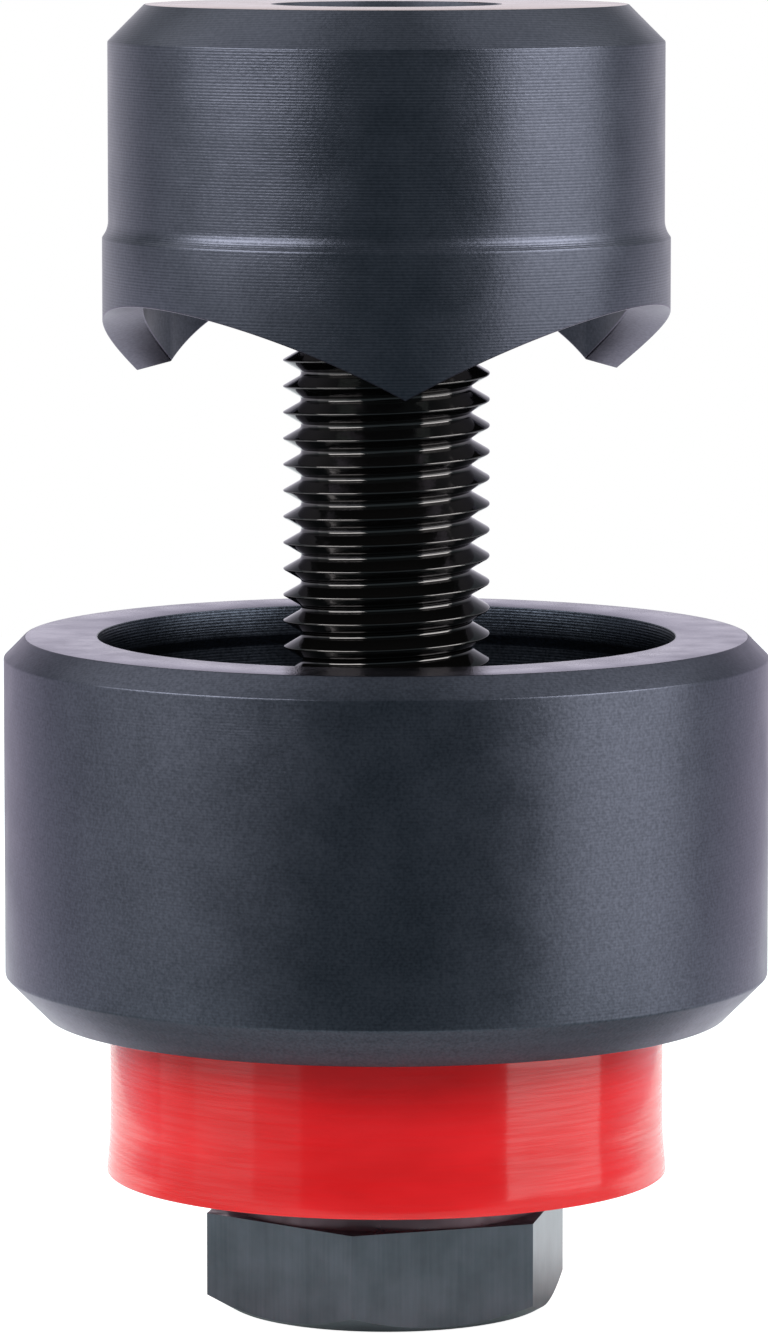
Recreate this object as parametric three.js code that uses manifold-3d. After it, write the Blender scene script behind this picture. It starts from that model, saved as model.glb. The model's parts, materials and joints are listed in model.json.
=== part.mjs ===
// Knockout punch: a screw-drawn punch and die that cuts one round hole in sheet metal.
// Millimetres, +Z up along the draw bolt. The origin is the centre of the underside of the
// bolt's head, on which the tool stands, and the front is towards -Y. An azimuth is an angle
// about the axis, from the front towards +X.

import * as THREE from 'three';
import { mergeVertices } from 'three/addons/utils/BufferGeometryUtils.js';
import Module from 'manifold-3d';

const wasm = await Module();
wasm.setup();

// Angles and facets
const degree = Math.PI / 180;
const turnFacets = 72;
const ringFacets = 48;
const pocketFacets = 16;
const raceFacets = 6;
const reliefFacets = 3;
const ballDetail = 2;

// The hole that the tool cuts, and the gap between the cutting edges
const holeDiameter = 32.5;
const cuttingClearance = 0.35;

// Draw bolt
const boltDiameter = 11.9;
const boltLength = 66.6;
const boltEndChamfer = 1.2;
const wrenchSize = 19;
const headHeight = 5.9;
const headFlatDiameter = 18;
const headChamferAngle = 30 * degree;
const headCornerAzimuth = -10.3 * degree;
const washerFaceDiameter = 18.4;
const washerFaceHeight = 1;

// Ball thrust bearing
const bearingBoreClearance = 0.25;
const ballDiameter = 4;
const ballSpacing = 1;
const ballClearance = 0.08;
const raceDepth = 0.58;
const raceLand = 1.4;
const shaftWasherThickness = 3;
const shaftWasherFlange = 0.7;
const shaftWasherClearance = 0.3;
const housingWasherThickness = 3;
const housingWasherBoreClearance = 0.75;
const cageGap = 0.4;
const cageWall = 0.5;
const pocketClearance = 0.2;

// Retaining ring
const ringThickness = 0.6;
const ringReach = 1.5;
const ringOpening = 24 * degree;
const ringAzimuth = 150 * degree;
const ringSlack = 0.05;
const ringGrooveDepth = 0.6;
const ringFlangeGap = 0.1;
const ringNoseGap = 0.4;

// Bearing housing
const housingWall = 2.8;
const housingFlare = 0.2;
const housingWeb = 1.2;
const housingLip = 0.6;
const housingEdgeChamfer = 0.3;
const housingSlideGap = 0.2;
const housingBoltClearance = 0.65;

// Die
const dieHeight = 21.85;
const dieWall = 5.4;
const dieFloor = 6;
const dieLand = 1.7;
const dieRelief = 0.6;
const dieTopChamfer = 1.2;
const dieBottomChamfer = 2.35;
const dieBoltClearance = 0.55;
const dieHoleChamfer = 0.5;

// Punch
const punchHeight = 21.45;
const punchBandHeight = 8.2;
const punchBandRelief = 0.35;
const punchReliefNose = 1.5;
const punchTopChamfer = 2.1;
const punchRim = 2.35;
const punchHollowReserve = 3.35;
const punchThreadClearance = 0.25;
const punchMouthChamfer = 0.4;
const punchOverBolt = 1.6;
const toothCount = 3;
const toothDepth = 4.67;
const toothBevel = 15 * degree;
const toothAzimuth = 3.7 * degree;

// Overrun of every cut past the face that it opens
const overrun = 1;

// Radii that follow from the sizes above
const boltRadius = boltDiameter / 2;
const bandRadius = holeDiameter / 2;
const dieBoreRadius = bandRadius + cuttingClearance;
const dieRadius = dieBoreRadius + dieWall;
const ballRadius = ballDiameter / 2;
const bearingBoreRadius = boltRadius + bearingBoreClearance;
const ballCircleRadius = bearingBoreRadius + raceLand + ballRadius;
const bearingRadius = ballCircleRadius + ballRadius + raceLand;
const raceRadius = ballRadius + ballClearance;
const pocketRadius = ballRadius + pocketClearance;
const housingBoreRadius = bearingRadius + housingSlideGap;
const ringGrooveRadius = housingBoreRadius + ringGrooveDepth;
const ringInnerRadius = housingBoreRadius - ringReach;
const ringOuterRadius = ringGrooveRadius - ringFlangeGap;
const ballCount = Math.floor((2 * Math.PI * ballCircleRadius) / (ballDiameter + ballSpacing));

// Heights of the stack, from the head's underside to the punch
const headFaceHeight = headHeight + washerFaceHeight;
const shaftWasherTop = headFaceHeight + shaftWasherThickness;
const washerGap = 2 * (raceRadius - raceDepth);
const ballHeight = shaftWasherTop + washerGap / 2;
const housingWasherBottom = shaftWasherTop + washerGap;
const webBottom = housingWasherBottom + housingWasherThickness;
const dieBottom = webBottom + housingWeb;
const ringTop = shaftWasherTop - shaftWasherFlange - ringFlangeGap;
const ringBottom = ringTop - ringThickness;
const housingBottom = ringBottom - ringSlack - housingLip;
const boltEnd = headFaceHeight + boltLength;
const punchTips = boltEnd + punchOverBolt - punchHeight;

// A closed geometry as a solid: equal corners are merged and faces without area go.
function solidFrom(geometry) {
  const bare = new THREE.BufferGeometry();
  bare.setAttribute('position', geometry.getAttribute('position'));
  bare.setIndex(geometry.getIndex());
  const merged = mergeVertices(bare);
  const corners = merged.getIndex().array;
  const kept = [];
  for (let start = 0; start < corners.length; start += 3) {
    const [a, b, c] = corners.slice(start, start + 3);
    if (a !== b && b !== c && c !== a) kept.push(a, b, c);
  }
  return new wasm.Manifold(new wasm.Mesh({
    numProp: 3,
    vertProperties: Float32Array.from(merged.getAttribute('position').array),
    triVerts: Uint32Array.from(kept),
  }));
}

// A solid as a geometry that a mesh can show.
function geometryFrom(solid) {
  const { vertProperties, triVerts } = solid.getMesh();
  const geometry = new THREE.BufferGeometry();
  geometry.setAttribute('position', new THREE.BufferAttribute(vertProperties, 3));
  geometry.setIndex(new THREE.BufferAttribute(triVerts, 1));
  geometry.computeVertexNormals();
  return geometry;
}

// The surface that an outline of [radius, height] points sweeps about Z. The outline runs
// up its outer side and closes on itself, and its first facet edge is at the front.
function turnedGeometry(outline) {
  const points = [...outline, outline[0]].map(([radius, height]) => new THREE.Vector2(radius, height));
  return new THREE.LatheGeometry(points, turnFacets).rotateX(Math.PI / 2);
}

// The turned solid of such an outline.
function turned(outline) {
  return solidFrom(turnedGeometry(outline));
}

// Points of a ball race's arc in [radius, height], from its outer lip to its inner one.
// side is 1 where the race is cut up into a washer and -1 where it is cut down into one.
function raceArc(side) {
  const halfAngle = Math.acos((raceRadius - raceDepth) / raceRadius);
  return Array.from({ length: raceFacets + 1 }, (_, step) => {
    const angle = halfAngle * (1 - (2 * step) / raceFacets);
    return [
      ballCircleRadius + raceRadius * Math.sin(angle),
      ballHeight + side * raceRadius * Math.cos(angle),
    ];
  });
}

// Hex head with a chamfered underside, raised washer face, and shank to a chamfered end.
function drawBolt() {
  const cornerRadius = wrenchSize / 2 / Math.cos(Math.PI / 6);
  const flatRadius = headFlatDiameter / 2;
  const washerFaceRadius = washerFaceDiameter / 2;
  const blankRadius = cornerRadius + overrun;
  const chamferRise = (blankRadius - flatRadius) * Math.tan(headChamferAngle);
  const prism = new THREE.CylinderGeometry(cornerRadius, cornerRadius, headHeight, 6)
    .rotateX(Math.PI / 2)
    .rotateZ(headCornerAzimuth)
    .translate(0, 0, headHeight / 2);
  const headBlank = turned([
    [0, 0],
    [flatRadius, 0],
    [blankRadius, chamferRise],
    [blankRadius, headHeight + overrun],
    [0, headHeight + overrun],
  ]);
  const stem = turned([
    [0, headHeight / 2],
    [washerFaceRadius, headHeight / 2],
    [washerFaceRadius, headFaceHeight],
    [boltRadius, headFaceHeight],
    [boltRadius, boltEnd - boltEndChamfer],
    [boltRadius - boltEndChamfer, boltEnd],
    [0, boltEnd],
  ]);
  return solidFrom(prism).intersect(headBlank).add(stem);
}

// Lower bearing washer: a nose that lies on the head, and a flange that carries the race.
function shaftWasher() {
  const noseRadius = ringInnerRadius - ringNoseGap;
  const flangeRadius = bearingRadius - shaftWasherClearance;
  const flangeBottom = shaftWasherTop - shaftWasherFlange;
  return turned([
    [bearingBoreRadius, headFaceHeight],
    [noseRadius, headFaceHeight],
    [noseRadius, flangeBottom],
    [flangeRadius, flangeBottom],
    [flangeRadius, shaftWasherTop],
    ...raceArc(-1),
    [bearingBoreRadius, shaftWasherTop],
  ]);
}

// Upper bearing washer, with its race in the underside.
function housingWasher() {
  const boreRadius = boltRadius + housingWasherBoreClearance;
  return turned([
    [boreRadius, housingWasherBottom],
    ...raceArc(1).reverse(),
    [bearingRadius, housingWasherBottom],
    [bearingRadius, webBottom],
    [boreRadius, webBottom],
  ]);
}

// Flat cage with one round pocket for each ball.
function ballCage() {
  const bottom = shaftWasherTop + cageGap;
  const top = housingWasherBottom - cageGap;
  const innerRadius = ballCircleRadius - pocketRadius - cageWall;
  const outerRadius = ballCircleRadius + pocketRadius + cageWall;
  const pocketLength = top - bottom + 2 * overrun;
  const blank = turned([
    [innerRadius, bottom],
    [outerRadius, bottom],
    [outerRadius, top],
    [innerRadius, top],
  ]);
  const pockets = ballPlaces().map((place) => solidFrom(
    new THREE.CylinderGeometry(pocketRadius, pocketRadius, pocketLength, pocketFacets)
      .rotateX(Math.PI / 2)
      .translate(...place),
  ));
  return pockets.reduce((cage, pocket) => cage.subtract(pocket), blank);
}

// Ball centres, evenly round the ball circle.
function ballPlaces() {
  return Array.from({ length: ballCount }, (_, index) => {
    const azimuth = (2 * Math.PI * (index + 1 / 2)) / ballCount;
    return [ballCircleRadius * Math.sin(azimuth), -ballCircleRadius * Math.cos(azimuth), ballHeight];
  });
}

// Open spring ring of flat wire, which sits in the groove of the housing's skirt.
function retainingRing() {
  const shape = new THREE.Shape();
  const start = ringOpening / 2;
  const end = 2 * Math.PI - ringOpening / 2;
  shape.absarc(0, 0, ringOuterRadius, start, end, false);
  shape.absarc(0, 0, ringInnerRadius, end, start, true);
  return new THREE.ExtrudeGeometry(shape, {
    depth: ringThickness,
    bevelEnabled: false,
    curveSegments: ringFacets,
  }).rotateZ(ringAzimuth).translate(0, 0, ringBottom);
}

// Red housing: a web under the die, and a skirt round the bearing with the ring's groove.
function bearingHousing() {
  const topRadius = housingBoreRadius + housingWall;
  const bottomRadius = topRadius + housingFlare;
  const boltHoleRadius = boltRadius + housingBoltClearance;
  const grooveBottom = ringBottom - ringSlack;
  const grooveTop = ringTop + ringSlack;
  return turned([
    [housingBoreRadius, housingBottom],
    [bottomRadius - housingEdgeChamfer, housingBottom],
    [bottomRadius, housingBottom + housingEdgeChamfer],
    [topRadius, dieBottom - housingEdgeChamfer],
    [topRadius - housingEdgeChamfer, dieBottom],
    [boltHoleRadius, dieBottom],
    [boltHoleRadius, webBottom],
    [housingBoreRadius, webBottom],
    [housingBoreRadius, grooveTop],
    [ringGrooveRadius, grooveTop],
    [ringGrooveRadius, grooveBottom],
    [housingBoreRadius, grooveBottom],
  ]);
}

// Die: a cup with a cutting land at its mouth, a wider relief below it for the slug, and a
// floor that the bolt passes through.
function die() {
  const top = dieBottom + dieHeight;
  const floorTop = dieBottom + dieFloor;
  const boltHoleRadius = boltRadius + dieBoltClearance;
  const reliefRadius = dieBoreRadius + dieRelief;
  return turned([
    [boltHoleRadius + dieHoleChamfer, dieBottom],
    [dieRadius - dieBottomChamfer, dieBottom],
    [dieRadius, dieBottom + dieBottomChamfer],
    [dieRadius, top - dieTopChamfer],
    [dieRadius - dieTopChamfer, top],
    [dieBoreRadius, top],
    [dieBoreRadius, top - dieLand],
    [reliefRadius, top - dieLand - dieRelief],
    [reliefRadius, floorTop],
    [boltHoleRadius + dieHoleChamfer, floorTop],
    [boltHoleRadius, floorTop - dieHoleChamfer],
    [boltHoleRadius, dieBottom + dieHoleChamfer],
  ]);
}

// Height of the cutting edge above the tips. Between two tips it arches up as a parabola, so
// that it shears the sheet from three points, and everywhere it rises inwards by the bevel.
function edgeHeight(azimuth, radius) {
  const toothTurn = (2 * Math.PI) / toothCount;
  const toothShare = azimuth / toothTurn - Math.floor(azimuth / toothTurn);
  const fromValley = 2 * toothShare - 1;
  return toothDepth * (1 - fromValley * fromValley) + (bandRadius - radius) * Math.tan(toothBevel);
}

// The solid under the cutting edge: a turned ring whose upper corners follow the edge.
function toothCutter(innerRadius) {
  const outerRadius = bandRadius + overrun;
  const ring = turnedGeometry([
    [innerRadius - overrun, -overrun],
    [outerRadius, -overrun],
    [outerRadius, overrun],
    [innerRadius - overrun, overrun],
  ]);
  const corners = ring.getAttribute('position');
  for (let index = 0; index < corners.count; index += 1) {
    if (corners.getZ(index) < 0) continue;
    const [x, y] = [corners.getX(index), corners.getY(index)];
    const facet = Math.round((Math.atan2(x, -y) / (2 * Math.PI)) * turnFacets);
    corners.setZ(index, edgeHeight((facet / turnFacets) * 2 * Math.PI, Math.hypot(x, y)));
  }
  return solidFrom(ring);
}

// Points of the step over the cutting band in [radius, height]. The round nose of the turning
// tool leaves it as a shallow cove, which runs out into the body's wall.
function reliefArc(bodyRadius) {
  const startAngle = Math.acos((punchReliefNose - punchBandRelief) / punchReliefNose);
  const run = punchReliefNose * Math.sin(startAngle);
  return Array.from({ length: reliefFacets + 1 }, (_, step) => {
    const angle = startAngle * (1 - step / reliefFacets);
    return [
      bodyRadius + punchReliefNose * (1 - Math.cos(angle)),
      punchBandHeight + run - punchReliefNose * Math.sin(angle),
    ];
  });
}

// Punch, with its tips at height 0 and one of them at azimuth 0: a toothed cutting band, a
// slightly thinner body, and the threaded hole, which is open over the bolt's crests.
function punch() {
  const bodyRadius = bandRadius - punchBandRelief;
  const hollowRadius = bandRadius - punchRim;
  const hollowTop = toothDepth + punchHollowReserve;
  const holeRadius = boltRadius + punchThreadClearance;
  const mouthRadius = holeRadius + punchMouthChamfer;
  const blank = turned([
    [hollowRadius, 0],
    [bandRadius, 0],
    ...reliefArc(bodyRadius),
    [bodyRadius, punchHeight - punchTopChamfer],
    [bodyRadius - punchTopChamfer, punchHeight],
    [mouthRadius, punchHeight],
    [holeRadius, punchHeight - punchMouthChamfer],
    [holeRadius, hollowTop + punchMouthChamfer],
    [mouthRadius, hollowTop],
    [hollowRadius, hollowTop],
  ]);
  return blank.subtract(toothCutter(hollowRadius));
}

// Finishes
const blackenedSteel = new THREE.MeshStandardMaterial({ color: '#2f353e', roughness: 0.45, metalness: 0.9 });
const oiledBlackSteel = new THREE.MeshStandardMaterial({ color: '#16161a', roughness: 0.3, metalness: 0.9 });
const redAluminium = new THREE.MeshStandardMaterial({ color: '#d8232a', roughness: 0.35, metalness: 0.5 });
const groundSteel = new THREE.MeshStandardMaterial({ color: '#a9adb3', roughness: 0.25, metalness: 1 });
const brass = new THREE.MeshStandardMaterial({ color: '#b8924a', roughness: 0.4, metalness: 1 });
const springSteel = new THREE.MeshStandardMaterial({ color: '#3b3d42', roughness: 0.4, metalness: 1 });

const knockoutPunch = new THREE.Group();

// Adds one named piece to the tool and gives its mesh back, so that it can be placed.
function addPiece(name, geometry, material) {
  const mesh = new THREE.Mesh(geometry, material);
  mesh.name = name;
  knockoutPunch.add(mesh);
  return mesh;
}

addPiece('draw_bolt', geometryFrom(drawBolt()), oiledBlackSteel);
addPiece('shaft_washer', geometryFrom(shaftWasher()), groundSteel);
addPiece('ball_cage', geometryFrom(ballCage()), brass);
addPiece('housing_washer', geometryFrom(housingWasher()), groundSteel);
addPiece('retaining_ring', retainingRing(), springSteel);
addPiece('bearing_housing', geometryFrom(bearingHousing()), redAluminium);
addPiece('die', geometryFrom(die()), blackenedSteel);

ballPlaces().forEach((place, index) => {
  const ball = new THREE.IcosahedronGeometry(ballRadius, ballDetail);
  const name = `ball_${String(index + 1).padStart(2, '0')}`;
  addPiece(name, ball, groundSteel).position.set(...place);
});

const punchMesh = addPiece('punch', geometryFrom(punch()), blackenedSteel);
punchMesh.position.z = punchTips;
punchMesh.rotation.z = toothAzimuth;

export default knockoutPunch;
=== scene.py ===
"""Looks of a knockout punch: toothed punch, cup-shaped die, draw bolt and red bearing housing.

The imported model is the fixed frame. Every piece is drawn in millimetres in that frame, with +Z up
along the draw bolt and the front towards -Y, and is scaled to metres when its mesh is finished.
An azimuth is an angle about the axis, from the front towards +X.
"""

import json
import logging
import math
from collections.abc import Callable, Iterable, Sequence
from dataclasses import dataclass, field
from enum import Enum, IntEnum

import bmesh
import bpy
from mathutils import Matrix, Vector

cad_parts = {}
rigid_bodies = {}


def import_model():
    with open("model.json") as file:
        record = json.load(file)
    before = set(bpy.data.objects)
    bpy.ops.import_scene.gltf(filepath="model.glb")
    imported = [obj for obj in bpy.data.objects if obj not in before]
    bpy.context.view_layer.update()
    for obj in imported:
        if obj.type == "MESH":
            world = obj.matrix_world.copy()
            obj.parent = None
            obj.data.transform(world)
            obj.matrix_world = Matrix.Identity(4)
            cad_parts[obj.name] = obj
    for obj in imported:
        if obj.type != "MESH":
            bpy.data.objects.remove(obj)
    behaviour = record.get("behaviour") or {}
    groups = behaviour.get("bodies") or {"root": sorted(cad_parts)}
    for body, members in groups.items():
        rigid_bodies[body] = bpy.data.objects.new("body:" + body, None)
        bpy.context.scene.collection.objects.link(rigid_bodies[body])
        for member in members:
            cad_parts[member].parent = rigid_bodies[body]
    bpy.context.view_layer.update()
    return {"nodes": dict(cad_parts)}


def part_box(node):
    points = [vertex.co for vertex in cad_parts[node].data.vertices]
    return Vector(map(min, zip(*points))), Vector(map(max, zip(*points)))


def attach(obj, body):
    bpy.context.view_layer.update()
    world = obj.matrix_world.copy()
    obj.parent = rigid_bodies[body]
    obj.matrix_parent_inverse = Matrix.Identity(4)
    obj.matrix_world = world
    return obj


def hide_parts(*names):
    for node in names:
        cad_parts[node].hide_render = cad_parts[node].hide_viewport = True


LOG = logging.getLogger("knockout_punch")

MM = 0.001
AXIS = Vector((0.0, 0.0, 1.0))
ORIGIN = Vector((0.0, 0.0, 0.0))
FULL_TURN = 2 * math.pi

# Steps in a full turn of a turned surface and of the thread, and in the arc of a rounded corner
TURN_STEPS = 288
THREAD_STEPS = 72
ROUND_SEGMENTS = 3

# Points closer than this, in millimetres, become one
WELD = 0.0008

# Faces that meet at a larger angle than this keep a sharp edge between them
SHARP_ANGLE = math.radians(28)

# An outline point: radius, height and the size of the rounding there, in millimetres
Corner = tuple[float, float, float]

# What feeds a node's socket: another socket, or the first output of a node
Source = bpy.types.NodeSocket | bpy.types.Node

# Spans that a noise is taken to fill round its middle of 0.5: a narrower one gives more contrast
WIDE = {"From Min": 0.3, "From Max": 0.7}
MEDIUM = {"From Min": 0.35, "From Max": 0.65}
NARROW = {"From Min": 0.4, "From Max": 0.6}


def linear(hex_colour: str) -> tuple[float, float, float, float]:
    """Turn an sRGB hex colour, such as "#2f353e", into linear RGBA.

    Args:
        hex_colour: the colour as it is written.

    Returns:
        The linear red, green and blue, and an alpha of 1.
    """
    channels = [int(hex_colour[start:start + 2], 16) / 255 for start in (1, 3, 5)]
    toe, slope, offset, power = 0.04045, 12.92, 0.055, 2.4
    red, green, blue = [
        value / slope if value <= toe else ((value + offset) / (1 + offset)) ** power
        for value in channels
    ]
    return red, green, blue, 1.0


def add_node(
    tree: bpy.types.NodeTree,
    kind: str,
    settings: dict[str | int, object] | None = None,
    links: dict[str | int, Source] | None = None,
) -> bpy.types.Node:
    """Add a node with its settings and its incoming links.

    Args:
        tree: the node tree that gets the node.
        kind: the node's type.
        settings: values by property name, or by the input socket's name or number.
        links: what feeds the node, by its input socket's name or number.

    Returns:
        The new node.
    """
    node = tree.nodes.new(kind)
    for name, value in (settings or {}).items():
        if name in node.bl_rna.properties.keys():
            setattr(node, name, value)
        else:
            node.inputs[name].default_value = value
    for name, source in (links or {}).items():
        socket = source.outputs[0] if isinstance(source, bpy.types.Node) else source
        tree.links.new(socket, node.inputs[name])
    return node


@dataclass(frozen=True)
class Extent:
    """Lowest and highest height and the radius of a CAD node, in millimetres."""

    low: float
    high: float
    radius: float

    @classmethod
    def of(cls, node: str) -> "Extent":
        """Read the extent of a node from the frame."""
        lowest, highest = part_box(node)
        return cls(lowest.z / MM, highest.z / MM, highest.x / MM)


@dataclass(frozen=True)
class Thread:
    """A 60 degree screw thread about the axis, right-handed, in millimetres.

    Both the bolt and the punch take their helix from these values, so that they mesh.
    """

    crest_radius: float = 5.93
    pitch: float = 1.5
    crest_rounding: float = 0.08
    root_rounding: float = 0.2
    flank_angle: float = math.radians(30)
    front_crest_height: float = 1.17
    arc_steps: int = 5
    spare_turns: int = 1

    @property
    def root_radius(self) -> float:
        """The root's radius, from the height that the flanks leave between the two arcs."""
        turn_height = (self.crest_rounding + self.root_rounding) * math.cos(self.flank_angle)
        flank_depth = (self.pitch / 2 - turn_height) / math.tan(self.flank_angle)
        arc_depth = (self.crest_rounding + self.root_rounding) * (1 - math.sin(self.flank_angle))
        return self.crest_radius - flank_depth - arc_depth

    def profile(self, crest: float, root: float, middle: float) -> list[Corner]:
        """List one pitch of the thread, from root to root, with round crest and roots.

        Args:
            crest: the crest's radius.
            root: the root's radius.
            middle: the height of the crest.

        Returns:
            The profile's points, none of them with a rounding of its own.
        """
        widest = math.pi / 2 - self.flank_angle
        shares = [step / self.arc_steps for step in range(self.arc_steps + 1)]
        rise = [
            (root + self.root_rounding * (1 - math.cos(widest * share)),
             self.root_rounding * math.sin(widest * share) - self.pitch / 2)
            for share in shares
        ]
        rise += [
            (crest - self.crest_rounding * (1 - math.cos(widest * share)),
             -self.crest_rounding * math.sin(widest * share))
            for share in reversed(shares)
        ]
        fall = [(radius, -height) for radius, height in reversed(rise[:-1])]
        return [(radius, middle + height, 0.0) for radius, height in rise + fall]

    def surface(self, low: float, high: float, clearance: float = 0.0) -> bmesh.types.BMesh:
        """Sweep the thread's surface from below low to above high.

        Args:
            low: the height that the thread starts under.
            high: the height that it ends over.
            clearance: how far the surface lies outside the bolt's own thread.

        Returns:
            An open tube of thread.
        """
        start_turn = math.floor((low - self.front_crest_height) / self.pitch) - self.spare_turns
        turns = math.ceil((high - low) / self.pitch) + 1 + 2 * self.spare_turns
        middle = self.front_crest_height + start_turn * self.pitch
        crest, root = self.crest_radius + clearance, self.root_radius + clearance
        mesh = outline(self.profile(crest, root, middle), closed=False)
        bmesh.ops.spin(
            mesh,
            geom=mesh.verts[:] + mesh.edges[:],
            cent=ORIGIN,
            axis=AXIS,
            dvec=AXIS * (self.pitch / THREAD_STEPS),
            angle=FULL_TURN,
            steps=THREAD_STEPS,
            use_duplicate=False,
        )
        first_turn = mesh.verts[:] + mesh.edges[:] + mesh.faces[:]
        for number in range(1, turns):
            copy = bmesh.ops.duplicate(mesh, geom=first_turn)
            moved = [item for item in copy["geom"] if isinstance(item, bmesh.types.BMVert)]
            bmesh.ops.translate(mesh, vec=AXIS * (self.pitch * number), verts=moved)
        bmesh.ops.remove_doubles(mesh, verts=mesh.verts[:], dist=WELD)
        return mesh


def outline(corners: Sequence[Corner], closed: bool = True) -> bmesh.types.BMesh:
    """Draw an outline in the half plane at the front and round its corners.

    Args:
        corners: the outline's points, each with its rounding.
        closed: whether the last point joins the first.

    Returns:
        A mesh of edges only.
    """
    mesh = bmesh.new()
    points = [mesh.verts.new((0.0, -radius, height)) for radius, height, _ in corners]
    ends = points[1:] + (points[:1] if closed else [])
    for first, second in zip(points, ends):
        mesh.edges.new((first, second))
    for point, (_, _, rounding) in zip(points, corners):
        if rounding > 0:
            bmesh.ops.bevel(
                mesh,
                geom=[point],
                offset=rounding,
                offset_type="OFFSET",
                affect="VERTICES",
                segments=ROUND_SEGMENTS,
                profile=0.5,
                material=-1,
            )
    return mesh


def turn(mesh: bmesh.types.BMesh, angle: float = FULL_TURN, steps: int = TURN_STEPS) -> None:
    """Spin everything in a mesh about the axis and weld the seam and the poles.

    Args:
        mesh: the outline, which becomes the turned surface.
        angle: how far it is turned.
        steps: the number of steps of that turn.
    """
    whole = math.isclose(angle, FULL_TURN)
    bmesh.ops.spin(
        mesh,
        geom=mesh.verts[:] + mesh.edges[:] + mesh.faces[:],
        cent=ORIGIN,
        axis=AXIS,
        dvec=ORIGIN,
        angle=angle,
        steps=steps,
        use_merge=whole,
        use_duplicate=False,
    )
    bmesh.ops.remove_doubles(mesh, verts=mesh.verts[:], dist=WELD)


def turned(corners: Sequence[Corner], closed: bool = True) -> bmesh.types.BMesh:
    """Turn an outline through a full turn.

    Args:
        corners: the outline's points, each with its rounding.
        closed: whether the last point joins the first.

    Returns:
        The turned surface.
    """
    mesh = outline(corners, closed)
    turn(mesh)
    return mesh


def cut_level(mesh: bmesh.types.BMesh, height: float, keep: float) -> list[bmesh.types.BMEdge]:
    """Cut a mesh at a height and drop what lies past the cut.

    Args:
        mesh: the mesh to cut.
        height: where the level cut lies.
        keep: 1 to keep what is above the cut, -1 to keep what is below it.

    Returns:
        The edges of the cut's rim.
    """
    cut = bmesh.ops.bisect_plane(
        mesh,
        geom=mesh.verts[:] + mesh.edges[:] + mesh.faces[:],
        dist=WELD / 10,
        plane_co=AXIS * height,
        plane_no=AXIS * -keep,
        clear_outer=True,
    )
    return [item for item in cut["geom_cut"] if isinstance(item, bmesh.types.BMEdge)]


def rim_at(mesh: bmesh.types.BMesh, height: float) -> list[bmesh.types.BMEdge]:
    """Find the open edges of a mesh that lie at a height.

    Args:
        mesh: the mesh to search.
        height: where the open rim lies.

    Returns:
        The rim's edges.
    """
    return [
        edge for edge in mesh.edges
        if edge.is_boundary and all(abs(vert.co.z - height) < WELD for vert in edge.verts)
    ]


def mark_level(mesh: bmesh.types.BMesh, height: float, material_index: int) -> None:
    """Give the level faces at a height another of the piece's materials.

    Args:
        mesh: the piece's mesh.
        height: where the level faces lie.
        material_index: the number of their material on the piece.
    """
    for face in mesh.faces:
        if all(abs(vert.co.z - height) < WELD for vert in face.verts):
            face.material_index = material_index


def mark_between(mesh: bmesh.types.BMesh, low: float, high: float, material_index: int) -> None:
    """Give the faces whose middles lie between two heights another of the piece's materials.

    Args:
        mesh: the piece's mesh.
        low: the lower height.
        high: the upper height.
        material_index: the number of their material on the piece.
    """
    for face in mesh.faces:
        if low - WELD < face.calc_center_median().z < high + WELD:
            face.material_index = material_index


def limit_radius(mesh: bmesh.types.BMesh, limit: Callable[[float, float], float]) -> None:
    """Move every vertex in or out, square to the axis, to the radius that a rule gives.

    Args:
        mesh: the mesh to shape.
        limit: gives the new radius from the old one and the height.
    """
    for vert in mesh.verts:
        radius = math.hypot(vert.co.x, vert.co.y)
        share = limit(radius, vert.co.z) / radius
        vert.co.x *= share
        vert.co.y *= share


def join(mesh: bmesh.types.BMesh, other: bmesh.types.BMesh) -> None:
    """Add another mesh to a mesh.

    Args:
        mesh: the mesh that grows.
        other: the mesh that is added, which is freed.
    """
    carrier = bpy.data.meshes.new("carrier")
    other.to_mesh(carrier)
    other.free()
    mesh.from_mesh(carrier)
    bpy.data.meshes.remove(carrier)


def finished(
    name: str,
    mesh: bmesh.types.BMesh,
    materials: Iterable[bpy.types.Material],
) -> bpy.types.Object:
    """Close a piece: faces out, sharp edges marked, scaled to metres and given its materials.

    Args:
        name: the piece's name.
        mesh: its shape in millimetres, which is freed.
        materials: its materials, in the order of the faces' material numbers.

    Returns:
        The piece, at the origin, unturned and unscaled.
    """
    bmesh.ops.recalc_face_normals(mesh, faces=mesh.faces[:])
    for face in mesh.faces:
        face.smooth = True
    for edge in mesh.edges:
        edge.smooth = len(edge.link_faces) == 2 and edge.calc_face_angle() < SHARP_ANGLE
    open_edges = sum(1 for edge in mesh.edges if len(edge.link_faces) != 2)
    bmesh.ops.scale(mesh, vec=(MM, MM, MM), verts=mesh.verts[:])
    data = bpy.data.meshes.new(name)
    mesh.to_mesh(data)
    mesh.free()
    for material in materials:
        data.materials.append(material)
    piece = bpy.data.objects.new(name, data)
    bpy.context.scene.collection.objects.link(piece)
    LOG.info("%s: %d faces, %d open edges", name, len(data.polygons), open_edges)
    return piece


def seat(piece: bpy.types.Object, body: str, slot: str, *nodes: str) -> None:
    """Let a piece ride on its body in place of its CAD nodes.

    Args:
        piece: the finished piece.
        body: the body that carries it.
        slot: its material slot in the record; not used.
        nodes: the CAD nodes that it replaces.
    """
    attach(piece, body)
    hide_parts(*nodes)


class Slot(Enum):
    """The record's material slots."""

    BLACKENED = "blackened_steel"
    OILED = "oiled_black_steel"
    RED = "red_aluminium"
    GROUND = "ground_steel"
    SPRING = "spring_steel"


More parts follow.
